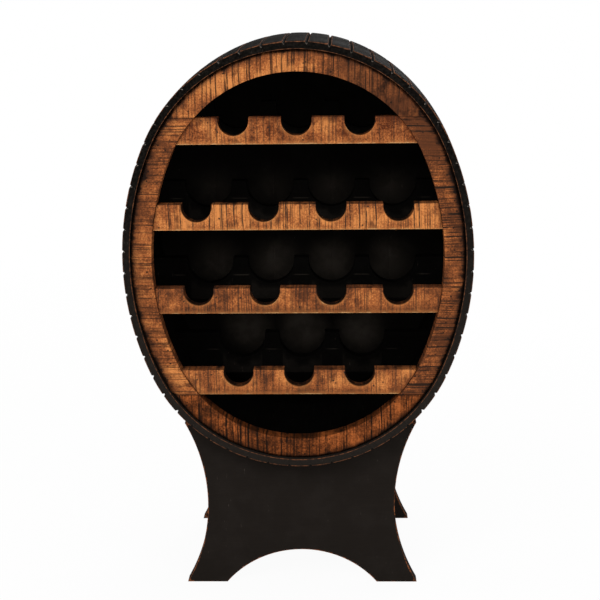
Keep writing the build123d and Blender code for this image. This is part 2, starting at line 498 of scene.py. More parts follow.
def sharp_points(piece: Piece, ease: Ease) -> list[tuple[Vector, float]]:
    """Collects points along the sharp edges of a piece that wear shows on.

    Args:
        piece: The piece, before its edges are softened.
        ease: Gives how much less an edge wears at a place, in metres, or None where it doesn't wear.

    Returns:
        The points, each with how much less it wears there.
    """
    mesh = bmesh.new()
    mesh.from_mesh(piece.data)
    found: list[tuple[Vector, float]] = []
    for edge in mesh.edges:
        if len(edge.link_faces) != 2 or edge.calc_face_angle(0.0) < SHARP:
            continue
        start, end = edge.verts[0].co, edge.verts[1].co
        count = max(2, math.ceil((end - start).length / WEAR_STEP))
        for index in range(count + 1):
            place = start.lerp(end, index / count)
            less = ease(place)
            if less is not None:
                found.append((place, less))
    mesh.free()
    return found


def mark_points(piece: Piece, name: str, value: Callable[[Vector], float]) -> None:
    """Writes a number at each point of a piece, worked out by its place, for the finish to read."""
    layer = piece.data.attributes.new(name, "FLOAT", "POINT")
    layer.data.foreach_set("value", [value(point.co) for point in piece.data.vertices])


def mark_wear(piece: Piece, edges: list[tuple[Vector, float]]) -> None:
    """Writes how near each point of a piece is to its worn edges: 1 on an edge, 0 out of reach.

    Args:
        piece: The piece.
        edges: Points along the edges, each with how much less it wears there.
    """
    groups: dict[float, list[Vector]] = {}
    for place, less in edges:
        groups.setdefault(round(less, 5), []).append(place)
    trees: list[tuple[float, kdtree.KDTree]] = []
    for less, places in groups.items():
        tree = kdtree.KDTree(len(places))
        for index, place in enumerate(places):
            tree.insert(place, index)
        tree.balance()
        trees.append((less, tree))

    def nearness(place: Vector) -> float:
        """How near a place is to the nearest worn edge."""
        gap = min(tree.find(place)[2] + less for less, tree in trees)
        return max(0.0, 1.0 - gap / WEAR_REACH)

    mark_points(piece, WEAR, nearness)


def smooth(piece: Piece) -> None:
    """Shades a piece smooth, apart from its sharp edges."""
    choose(piece)
    bpy.ops.object.shade_smooth_by_angle(angle=SMOOTH)


def weather(piece: Piece, ease: Ease, arris: float, cell: float | None = None) -> None:
    """Softens a piece's edges, marks where they wear and shades the piece smooth between them.

    Args:
        piece: The piece, with sharp edges.
        ease: Gives how much less an edge wears at a place, in metres, or None where it doesn't wear.
        arris: How wide the softened edges are.
        cell: How wide a face may be, where faces have to be divided to carry the marks.
    """
    edges = sharp_points(piece, ease)
    soften(piece, arris)
    if cell is not None:
        divide(piece, cell)
    mark_wear(piece, edges)
    smooth(piece)


def turn_inside(piece: Piece, test: Callable[[Vector, Vector], bool]) -> None:
    """Gives the faces that pass a test on their middle and direction to the finish inside the barrel."""
    for face in piece.data.polygons:
        face.material_index = int(test(face.center, face.normal))


def fasten(piece: Piece, slot: str, finishes: list[bpy.types.Material], *nodes: str) -> None:
    """Dresses a finished piece and puts it in the place of its CAD nodes.

    Args:
        piece: The finished piece.
        slot: The record's material slot of its finish. It is not used.
        finishes: Its material, and the one inside the barrel where that differs. A piece that is
            already dressed has none.
        nodes: The CAD nodes that it stands for.
    """
    for finish in finishes:
        piece.data.materials.append(finish)
    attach(piece, "root")
    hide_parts(*nodes)
    LOG.info("%s: %d faces, for %s", piece.name, len(piece.data.polygons), ", ".join(nodes))


# Finishes


class Pattern(NamedTuple):
    """A soft noise: how often it repeats in a metre along each axis, how detailed and how rough it is."""

    scale: Triple
    detail: float
    roughness: float


class NodeBench:
    """A node tree, with short calls for the nodes that the finishes and the studio share."""

    def __init__(self, tree: bpy.types.NodeTree) -> None:
        """Takes up a tree."""
        self.tree = tree

    def add(self, kind: str, inputs: dict[str | int, object] | None = None, **settings: object) -> Node:
        """Adds a node.

        Args:
            kind: Its type.
            inputs: What its input sockets are fed, by their names or numbers.
            settings: Its settings by name.

        Returns:
            The node.
        """
        node = self.tree.nodes.new(kind)
        for key, value in settings.items():
            setattr(node, key, value)
        for key, value in (inputs or {}).items():
            self.feed(node.inputs[key], value)
        return node

    def feed(self, target: Socket, value: object) -> None:
        """Links a socket or sets it.

        Args:
            target: The socket.
            value: Another socket to link it to, or a value.
        """
        if isinstance(value, bpy.types.NodeSocket):
            self.tree.links.new(value, target)
        else:
            target.default_value = value

    def reckon(self, operation: str, first: object, second: object) -> Socket:
        """Makes one value of two, each a socket or a number, by an operation of the Math node."""
        return self.add("ShaderNodeMath", {0: first, 1: second}, operation=operation).outputs["Value"]

    def plus(self, first: object, second: object) -> Socket:
        """The sum of two values."""
        return self.reckon("ADD", first, second)

    def minus(self, first: object, second: object) -> Socket:
        """The difference of two values."""
        return self.reckon("SUBTRACT", first, second)

    def times(self, first: object, second: object) -> Socket:
        """The product of two values."""
        return self.reckon("MULTIPLY", first, second)

    def larger(self, first: object, second: object) -> Socket:
        """The larger of two values."""
        return self.reckon("MAXIMUM", first, second)

    def stray(self, value: Socket, noise: Socket, reach: float, middle: float = 0.5) -> Socket:
        """A value that strays up and down with a noise, which lies about a middle."""
        return self.plus(value, self.times(self.minus(noise, middle), reach))

    def span(
        self,
        value: Socket,
        low: float,
        high: float,
        bottom: float = 0.0,
        top: float = 1.0,
        ramp: Ramp = Ramp.EASED,
    ) -> Socket:
        """Maps a value from one span onto another, along a ramp, and stops at its ends."""
        levels = {"Value": value, "From Min": low, "From Max": high, "To Min": bottom, "To Max": top}
        return self.add("ShaderNodeMapRange", levels, interpolation_type=ramp.value).outputs["Result"]

    def blend(self, share: Socket, first: object, second: object) -> Socket:
        """Mixes two colours, by the share of the second."""
        return self.add("ShaderNodeMix", {"Factor": share, 6: first, 7: second}, data_type="RGBA").outputs[2]

    def stain(
        self, ground: object, colour: object, value: Socket, low: float, high: float, share: float = 1.0
    ) -> Socket:
        """Lays a colour over a ground, from none where a value is low to a share of it where that is high."""
        return self.blend(self.span(value, low, high, 0.0, share), ground, colour)


class FinishBench(NodeBench):
    """A new material with one shader, whose patterns lie on the object's own coordinates."""

    drift: Triple = (1.0, 0.7, 0.4)
    sway: Pattern = Pattern((16, 16, 14), 1.0, 0.5)
    sway_reach: float = 0.006
    line_core: float = 0.6

    def __init__(self, name: str, offset: float = 0.0, turn: float = 0.0) -> None:
        """Starts the material.

        Args:
            name: Its name.
            offset: How far its patterns are shifted.
            turn: How far they are turned about Y.
        """
        self.material = bpy.data.materials.new(name)
        self.material.use_nodes = True
        super().__init__(self.material.node_tree)
        self.tree.nodes.clear()
        self.shader = self.add("ShaderNodeBsdfPrincipled")
        self.add("ShaderNodeOutputMaterial", {"Surface": self.shader.outputs["BSDF"]})
        turned = {
            "Vector": self.add("ShaderNodeTexCoord").outputs["Object"],
            "Location": [offset * part for part in self.drift],
            "Rotation": (0, turn, 0),
        }
        self.spot = self.add("ShaderNodeMapping", turned).outputs["Vector"]

    def place(self, scale: Triple) -> Socket:
        """The place on the object, stretched for a pattern."""
        return self.add("ShaderNodeMapping", {"Vector": self.spot, "Scale": scale}).outputs["Vector"]

    def along(self, axis: Axis) -> Socket:
        """The place on the object along one axis."""
        return self.add("ShaderNodeSeparateXYZ", {"Vector": self.spot}).outputs[axis.name]

    def noise(self, pattern: Pattern) -> Socket:
        """Soft noise over the object, from 0 to 1, in a pattern."""
        fed = {"Vector": self.place(pattern.scale), "Detail": pattern.detail, "Roughness": pattern.roughness}
        return self.add("ShaderNodeTexNoise", {**fed, "Scale": 1.0}).outputs["Fac"]

    def saw_lines(self, pitch: float, width: float) -> Socket:
        """Thin straight lines across a board, each with its own strength.

        Args:
            pitch: The distance from one line to the next, on average.
            width: How wide a line is.

        Returns:
            The lines: 1 on a strong one, 0 beside them.
        """
        where = self.stray(self.along(Axis.X), self.noise(self.sway), self.sway_reach)
        cells = self.add("ShaderNodeTexVoronoi", {"W": where, "Scale": 1 / pitch}, voronoi_dimensions="1D")
        half = width / pitch / 2
        line = self.span(cells.outputs["Distance"], half, half * self.line_core)
        return self.times(line, self.span(cells.outputs["Color"], 0.25, 0.60, 0.25, 1.0))

    def mark(self, name: str) -> Socket:
        """The number that a piece carries under a name."""
        return self.add("ShaderNodeAttribute", attribute_name=name).outputs["Fac"]

    def relief(self, height: Socket, depth: float, strength: float) -> None:
        """Gives the surface a relief of a height, down to a depth, of which a strength shows."""
        bump = self.add("ShaderNodeBump", {"Strength": strength, "Distance": depth, "Height": height})
        self.feed(self.shader.inputs["Normal"], bump.outputs["Normal"])

    def done(self, colour: Socket, roughness: Socket) -> bpy.types.Material:
        """Gives the shader its colour and roughness.

        Args:
            colour: The colour.
            roughness: The roughness.

        Returns:
            The finished material.
        """
        self.feed(self.shader.inputs["Base Color"], colour)
        self.feed(self.shader.inputs["Roughness"], roughness)
        return self.material


@dataclass(frozen=True)
class SawnWood:
    """Stained, rough-sawn wood with dark saw marks, glaze and painted shade in its corners and recesses, and
    worn edges that are pale along the rails' feet, partly as a painted highlight.
    """

    light: Colour = srgb(216, 137, 75)
    middle: Colour = srgb(163, 93, 50)
    deep: Colour = srgb(95, 54, 32)
    mark: Colour = srgb(52, 39, 32)
    # The darkest glaze colour, which also paints the shade in recesses
    glaze_and_shadow: Colour = srgb(20, 15, 12)
    # Pale bare wood of the most worn edges, which also paints the highlight along the rails' feet
    bare_and_highlight: Colour = srgb(210, 158, 104)
    marks: SawMarks = SawMarks.UPRIGHT
    scored: float = 0.9
    tone: float = 0.0
    base_tone: float = -0.02
    shading: float = 0.16
    plank: int = 0
    plank_shift: float = 1.37
    cut_pitch: float = 0.0082
    cut_width: float = 0.0026
    rake_pitch: float = 0.0043
    rake_width: float = 0.0017
    gloss: float = 0.04
    relief: float = 0.0008

    def make(self, name: str) -> bpy.types.Material:
        """Builds the finish.

        Args:
            name: The material's name.

        Returns:
            The material.
        """
        bench = FinishBench(name, self.plank_shift * self.plank, self.marks.value)
        patches = bench.noise(Pattern((30, 20, 30), 2.0, 0.55))
        fibres = bench.noise(Pattern((60, 420, 480), 4.0, 0.7))
        pores = bench.noise(Pattern((400, 400, 400), 2.0, 0.75))
        smudges = bench.noise(Pattern((58, 24, 34), 4.0, 0.66))
        crowding = bench.noise(Pattern((34, 9, 12), 2.0, 0.5))
        breaks = bench.noise(Pattern((150, 60, 62), 2.0, 0.6))

        warmth = bench.plus(bench.times(patches, 0.85), bench.times(fibres, 0.25))
        warmth = bench.plus(warmth, bench.times(pores, 0.7))
        warmth = bench.plus(warmth, self.tone + self.base_tone)
        warmth = bench.minus(warmth, bench.times(bench.mark(SHADE), self.shading))
        tint = bench.stain(self.deep, self.middle, warmth, 0.62, 0.88)
        tint = bench.stain(tint, self.light, warmth, 0.82, 1.06)
        tint = bench.stain(tint, self.deep, smudges, 0.51, 0.67, 0.8)
        # Glaze, together with painted shade at the ring's outer edge, in its hole and in the rails' notches
        glaze_and_shade = bench.stray(bench.mark(GLAZE_AND_SHADE), smudges, 1.4)
        tint = bench.stain(tint, self.deep, glaze_and_shade, 0.12, 0.7, 0.62)

        cuts = bench.saw_lines(self.cut_pitch, self.cut_width)
        cuts = bench.times(cuts, bench.span(breaks, 0.30, 0.52, 0.35, 1.0))
        rakes = bench.saw_lines(self.rake_pitch, self.rake_width)
        rakes = bench.times(rakes, bench.span(crowding, 0.40, 0.54, 0.45, 1.0))
        rakes = bench.times(rakes, bench.span(breaks, 0.36, 0.58, 0.5, 1.0))
        sawn = bench.larger(cuts, rakes)
        tint = bench.blend(bench.times(sawn, self.scored), tint, self.mark)

        speckled = {"Vector": bench.place((105, 105, 105)), "Scale": 1.0}
        specks = bench.add("ShaderNodeTexVoronoi", speckled, feature="F1")
        pits = bench.span(specks.outputs["Distance"], 0.19, 0.10)
        tint = bench.blend(bench.times(pits, bench.span(smudges, 0.45, 0.52)), tint, self.mark)

        tint = bench.stain(tint, self.glaze_and_shadow, glaze_and_shade, 0.58, 1.0, 0.95)
        edge = bench.stray(bench.mark(WEAR), smudges, 0.25)
        tint = bench.stain(tint, self.light, edge, 0.72, 1.0, 0.35)
        # The most worn edges turn pale and bare; along the rails' feet this is also a painted highlight
        tint = bench.stain(tint, self.bare_and_highlight, edge, 0.94, 1.0, 0.85)
        bench.feed(bench.shader.inputs["Specular IOR Level"], self.gloss)
        height = bench.minus(bench.times(fibres, 0.5), bench.times(sawn, 0.8))
        bench.relief(height, self.relief, 0.5)
        return bench.done(tint, bench.span(pores, 0.3, 0.7, 0.5, 0.68))


@dataclass(frozen=True)
class BlackPaint:
    """Black satin paint over wood, rubbed through to a coppery brown along its edges, with pale painted light
    where a mesh marks it.
    """

    coat: Colour = srgb(33, 29, 26)
    faded: Colour = srgb(36, 32, 29)
    scuff: Colour = srgb(78, 70, 64)
    rubbed: Colour = srgb(134, 80, 50)
    rubbed_deep: Colour = srgb(62, 42, 32)
    # The colour of the painted light: glints in grooves, and light that falls inside
    painted_light: Colour = srgb(168, 156, 144)
    # Painted light: the paint turns lighter towards the bottom, by this colour and share
    lower_lit_coat: Colour = srgb(48, 43, 39)
    lower_lit_share: float = 0.0
    patchy: float = 1.0
    brushed: float = 0.02
    rub_width: float = 0.0006
    gloss: float = 0.004
    relief: float = 0.0005
    grain: Triple = (300, 14, 300)

    def make(self, name: str) -> bpy.types.Material:
        """Builds the finish.

        Args:
            name: The material's name.

        Returns:
            The material.
        """
        bench = FinishBench(name)
        clouds = bench.noise(Pattern((22, 22, 22), 4.0, 0.6))
        grain = bench.noise(Pattern(self.grain, 3.0, 0.6))
        chips = bench.noise(Pattern((210, 210, 210), 3.0, 0.65))
        runs = bench.noise(Pattern((38, 38, 38), 2.0, 0.5))
        scratches = bench.noise(Pattern((420, 30, 90), 2.0, 0.5))
        up = bench.along(Axis.Z)

        coat = bench.stain(self.coat, self.faded, clouds, 0.42, 0.66)
        scuffs = bench.times(bench.span(scratches, 0.70, 0.76), bench.span(clouds, 0.50, 0.60))
        coat = bench.blend(bench.times(scuffs, 0.6), coat, self.scuff)
        coat = bench.stain(coat, self.scuff, grain, 0.38, 0.78, self.brushed)
        # Painted light: lighter towards the bottom
        coat = bench.stain(coat, self.lower_lit_coat, up, 0.72, 0.32, self.lower_lit_share)
        cover = bench.span(chips, 0.34, 0.56, 1.0 - 0.65 * self.patchy, 1.0)
        cover = bench.times(cover, bench.span(clouds, 0.40, 0.62, 0.6, 1.0))
        # Painted light where a mesh marks it, patchy and weaker towards the bottom
        painted_lit = bench.times(bench.span(bench.mark(PAINTED_LIGHT), 0.0, 1.0), cover)
        painted_lit = bench.times(painted_lit, bench.span(up, 0.30, 0.65, 1.0 - 0.75 * self.patchy, 1.0))
        coat = bench.blend(painted_lit, coat, self.painted_light)

        rub = self.rub_width / WEAR_REACH
        uneven = bench.plus(bench.times(chips, 0.7), runs)
        worn = bench.stray(bench.mark(WEAR), uneven, 2.2 * rub, middle=0.85)
        through = bench.span(worn, 1.0 - rub - 0.012, 1.0 - rub + 0.02)
        copper = bench.stain(self.rubbed_deep, self.rubbed, chips, 0.38, 0.60)
        bench.feed(bench.shader.inputs["Specular IOR Level"], self.gloss)
        height = bench.minus(bench.times(grain, 0.5), bench.times(through, 0.6))
        bench.relief(height, self.relief, 0.35)
        return bench.done(bench.blend(through, coat, copper), bench.span(clouds, 0.35, 0.7, 0.68, 0.84))


@dataclass(frozen=True)
class DowelWood:
    """Plain pale wood of the dowels, with fine fibres."""

    light: Colour = srgb(206, 168, 118)
    dark: Colour = srgb(168, 126, 80)
    relief: float = 0.0002

    def make(self, name: str) -> bpy.types.Material:
        """Builds the finish.

        Args:
            name: The material's name.

        Returns:
            The material.
        """
        bench = FinishBench(name)
        fibres = bench.noise(Pattern((40, 900, 900), 3.0, 0.6))
        bench.relief(fibres, self.relief, 0.3)
        colour = bench.stain(self.light, self.dark, fibres, 0.38, 0.64)
        return bench.done(colour, bench.span(fibres, 0.3, 0.7, 0.55, 0.7))


@dataclass(frozen=True)
class ScrewSteel:
    """Zinc-plated steel of the screws, slightly clouded."""

    bright: Colour = srgb(196, 192, 182)
    dull: Colour = srgb(142, 138, 128)
    relief: float = 0.0001

    def make(self, name: str) -> bpy.types.Material:
        """Builds the finish.

        Args:
            name: The material's name.

        Returns:
            The material.
        """
        bench = FinishBench(name)
        clouds = bench.noise(Pattern((260, 260, 260), 4.0, 0.6))
        bench.feed(bench.shader.inputs["Metallic"], 1.0)
        bench.relief(clouds, self.relief, 0.2)
        colour = bench.stain(self.bright, self.dull, clouds, 0.35, 0.65)
        return bench.done(colour, bench.span(clouds, 0.3, 0.7, 0.28, 0.46))


# The rack


@dataclass(frozen=True)
class Oval:
    """The barrel's outline: four arcs that meet smoothly, about a middle on the rack's centre plane."""

    middle: float
    width: float = 0.523
    extra_height: float = 0.121
    end_arc_shortfall: float = 0.0165

    @property
    def half_width(self) -> float:
        """Half the width."""
        return self.width / 2

    @property
    def half_height(self) -> float:
        """Half the height."""
        return self.half_width + self.extra_height / 2

    @property
    def end_radius(self) -> float:
        """Radius of the top and bottom arcs."""
        return self.half_width - self.end_arc_shortfall

    @property
    def end_offset(self) -> float:
        """How far the top arc's centre is over the middle."""
        return self.half_height - self.end_radius

    @property
    def side_radius(self) -> float:
        """Radius of the side arcs."""
        rise = self.half_height - self.half_width
        return self.half_height + rise**2 / (2 * self.end_arc_shortfall)

    @property
    def side_offset(self) -> float:
        """How far a side arc's centre is beyond the middle."""
        return self.side_radius - self.half_width

    @property
    def end_half_angle(self) -> float:
        """Half the angle of the top and bottom arcs."""
        return math.atan2(self.side_offset, self.end_offset)

    @property
    def side_half_angle(self) -> float:
        """Half the angle of the side arcs."""
        return math.pi / 2 - self.end_half_angle

    def arc(self, heading: float) -> tuple[Vector, float]:
        """Finds the arc that faces a heading.

        Args:
            heading: The direction outwards, from straight up towards the right, in radians.

        Returns:
            The arc's centre and its radius.
        """
        heading = math.remainder(heading, 2 * math.pi)
        if abs(heading) <= self.end_half_angle:
            return Vector((0, 0, self.middle + self.end_offset)), self.end_radius
        if abs(heading) >= math.pi - self.end_half_angle:
            return Vector((0, 0, self.middle - self.end_offset)), self.end_radius
        return Vector((-math.copysign(self.side_offset, heading), 0, self.middle)), self.side_radius

    def edge(self, heading: float, inset: float) -> Vector:
        """The place at a heading on the oval drawn an inset inside the outline."""
        centre, radius = self.arc(heading)
        return centre + (radius - inset) * Vector((math.sin(heading), 0, math.cos(heading)))

    def inset(self, place: Vector) -> float:
        """Finds how far inside the outline a place is.

        Args:
            place: The place.

        Returns:
            The distance to the outline, less than zero outside it.
        """
        rise = place.z - self.middle
        end = Vector((place.x, 0, abs(rise) - self.end_offset))
        if abs(math.atan2(end.x, end.z)) <= self.end_half_angle:
            return self.end_radius - end.length
        return self.side_radius - math.hypot(abs(place.x) + self.side_offset, rise)

    def block(self, name: str, inset: float, reach: Pair, facets: int = 360) -> Piece:
        """Makes a block with this outline that lies along Y.

        Args:
            name: The block's name.
            inset: How far inside the outline its wall is.
            reach: Its two ends in Y.
            facets: How many flats its wall has.

        Returns:
            The block.
        """
        block = added(
            name,
            bpy.ops.mesh.primitive_circle_add,
            vertices=facets,
            radius=1,
            fill_type="NGON",
            rotation=(math.pi / 2, 0, 0),
        )
        settle(block)
        for point in block.data.vertices:
            point.co = self.edge(math.atan2(point.co.x, point.co.z), inset) + Vector((0, reach[0], 0))
        with editing(block, Picked.EVERYTHING):
            draw_out((0, reach[1] - reach[0], 0))
        close_up(block)
        return block


@dataclass(frozen=True)
class StaveShell:
    """The barrel's staves, grooved where they meet."""

    oval: Oval
    paint: BlackPaint
    inside: BlackPaint
    bulge: float = 0.004
    mouth: float = 0.011
    seat_step: float = 0.003
    front_seat: float = 0.030
    rear_seat: float = 0.024
    end_count: int = 17
    side_count: int = 11
    groove_width: float = 0.005
    groove_depth: float = 0.0042
    arris: float = 0.0005
    inner_mouth_ease: float = -0.0002
    outer_mouth_ease: float = -0.0004
    groove_ease: float = 0.0001
    # How far in from the ends the painted glints reach
    glint_reach: float = 0.00075
    station_pitch: float = 0.018
    facets: int = 4
    angle_slack: float = 0.001

    @cached_property
    def half_depth(self) -> float:
        """Half the barrel's length, from the frame."""
        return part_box("stave_top")[1][1]

    def bulge_at(self, y: float) -> float:
        """How far the staves stand out at a place along the barrel."""
        radius = (self.half_depth**2 + self.bulge**2) / (2 * self.bulge)
        return self.bulge - radius + math.sqrt(radius**2 - y**2)

    def model_stave(self, name: str, radius: float, sweep: float) -> Piece:
        """Models the stave of one arc, upright over the arc's axis at the origin.

        Args:
            name: The stave's name.
            radius: The arc's radius.
            sweep: The angle that the stave takes up.

        Returns:
            The stave, with its worn edges marked.
        """
        end = self.half_depth
        wall = self.mouth + self.seat_step
        stave = add_sheet(name, (-end, radius - wall), (end, radius))
        front, rear = self.front_seat - end, end - self.rear_seat
        stations = [front, front + TOUCH, rear - TOUCH, rear]
        for start, stop in ((-end, front), (front, rear), (rear, end)):
            stations += steps_between(start, stop, self.station_pitch)
        slice_at(stave, Axis.Y, stations)
        slice_at(stave, Axis.Z, [radius - self.mouth / 2])
        with editing(stave):
            for station in stations:
                pick_points(stave, lambda co: abs(co.y - station) < TOUCH / 4 and co.z > radius - TOUCH)
                bpy.ops.transform.translate(value=(0, 0, self.bulge_at(station)))
            pick_points(
                stave,
                lambda co: co.z < radius - wall + TOUCH and not front + TOUCH / 2 < co.y < rear - TOUCH / 2,
            )
            bpy.ops.transform.translate(value=(0, 0, self.seat_step))
            bpy.ops.mesh.select_all(action="SELECT")
            bpy.ops.mesh.spin(steps=self.facets, angle=sweep, center=(0, 0, 0), axis=(0, 1, 0))
        line_up(stave)
        close_up(stave)
        self.stand_upright(stave)
        self.cut_grooves(stave, radius, sweep)
        weather(stave, lambda place: self.ease_at(place, radius), self.arris)
        # Painted glints in the grooves' ends
        mark_points(stave, PAINTED_LIGHT, lambda place: self.glint_at(place, radius, sweep))
        turn_inside(stave, lambda middle, facing: facing.z < -FACING and front < middle.y < rear)
        return stave

    def stand_upright(self, stave: Piece) -> None:
        """Turns a stave that was just spun.

        Args:
            stave: The stave, whose middle comes to stand straight over the axis.
        """
        middle = sum((point.co for point in stave.data.vertices), Vector()) / len(stave.data.vertices)
        stave.rotation_euler.y = -math.atan2(middle.x, middle.z)
        settle(stave)

    def cut_grooves(self, stave: Piece, radius: float, sweep: float) -> None:
        """Cuts half a groove along both long edges of an upright stave.

        Args:
            stave: The stave. It is squashed while the even bevel is cut, so that the groove becomes
                deeper than half its width.
            radius: The radius of its arc.
            sweep: The angle that it takes up.
        """
        squash = self.groove_width / 2 / self.groove_depth
        side = sweep / 2 - self.angle_slack

        def on_long_edge(place: Vector) -> bool:
            """True on the two long outer edges of the squashed stave."""
            up = place.z / squash
            return abs(math.atan2(place.x, up)) > side and math.hypot(place.x, up) > radius - TOUCH

        with editing(stave, Picked.EVERYTHING):
            bpy.ops.transform.resize(value=(1, 1, squash), center_override=(0, 0, 0))
            pick_edges(
                stave,
                lambda one, two: on_long_edge(one) and on_long_edge(two) and abs(one.y - two.y) > TOUCH / 2,
            )
            chamfer(self.groove_width / 2)
            bpy.ops.mesh.select_all(action="SELECT")
            bpy.ops.transform.resize(value=(1, 1, 1 / squash), center_override=(0, 0, 0))
        close_up(stave)

    def ease_at(self, place: Vector, radius: float) -> float | None:
        """Finds how much less a stave's edge wears at a place.

        Args:
            place: A place on an upright stave.
            radius: The radius of its arc.

        Returns:
            The ease in metres, or None where the edge is hidden or down in a groove.
        """
        depth = radius - math.hypot(place.x, place.z)
        at_mouth = abs(place.y) > self.half_depth - TOUCH
        if at_mouth and depth > self.mouth - TOUCH:
            return self.inner_mouth_ease
        if depth < TOUCH:
            return self.outer_mouth_ease if at_mouth else self.groove_ease
        return None

    def glint_at(self, place: Vector, radius: float, sweep: float) -> float:
        """Finds how much painted glint lies at a place: the reflection in the grooves' ends.

        Args:
            place: A place on an upright stave.
            radius: The radius of its arc.
            sweep: The angle that it takes up.

        Returns:
            1 in the grooves' ends, 0 elsewhere.
        """
        from_end = self.half_depth - abs(place.y)
        from_axis = math.hypot(place.x, place.z)
        from_joint = from_axis * (sweep / 2 - abs(math.atan2(place.x, place.z)))
        near_end = TOUCH / 4 < from_end < self.glint_reach
        in_groove = from_joint < self.groove_width / 2 - TOUCH
        return float(near_end and in_groove and from_axis > radius - self.groove_depth - TOUCH)

    def build(self) -> list[Piece]:
        """Models one stave for the ends and one for the sides, and sets copies round the oval.

        Returns:
            The staves: one at the top, one at the bottom and pairs down both sides.
        """
        oval = self.oval
        end_step = 2 * oval.end_half_angle / self.end_count
        side_step = 2 * oval.side_half_angle / self.side_count
        end_stave = self.model_stave("end_stave", oval.end_radius, end_step)
        side_stave = self.model_stave("side_stave", oval.side_radius, side_step)
        for finish in (self.paint.make("black_stave_paint"), self.inside.make("black_stave_inside")):
            end_stave.data.materials.append(finish)
            side_stave.data.materials.append(finish)
        end_pairs = self.end_count // 2
        headings = [(end_stave, (index + 1) * end_step) for index in range(end_pairs)]
        headings += [
            (side_stave, oval.end_half_angle + (index + 0.5) * side_step) for index in range(self.side_count)
        ]
        headings += [(end_stave, math.pi - (end_pairs - index) * end_step) for index in range(end_pairs)]
        pieces = [self.set_staves("stave_top", [(end_stave, 0.0)])]
        for number, (model, heading) in enumerate(headings, 1):
            pair = [(model, side.value * heading) for side in Side]
            pieces.append(self.set_staves(f"stave_pair_{number:02d}", pair))
        pieces.append(self.set_staves("stave_bottom", [(end_stave, math.pi)]))
        for model in (end_stave, side_stave):
            bpy.data.objects.remove(model, do_unlink=True)
        return pieces

    def set_staves(self, node: str, staves: list[tuple[Piece, float]]) -> Piece:
        """Sets copies of staves round the oval.

        Args:
            node: The CAD node that they stand for.
            staves: The staves, each with its heading.

        Returns:
            The copies, as one piece.
        """
        copies = []
        for model, heading in staves:
            stave = copied(model, f"worn_{node}")
            stave.rotation_euler.y = heading
            stave.location = self.oval.arc(heading)[0]
            settle(stave)
            copies.append(stave)
        piece = joined(copies, f"worn_{node}")
        fasten(piece, "black_paint", [], node)
        return piece


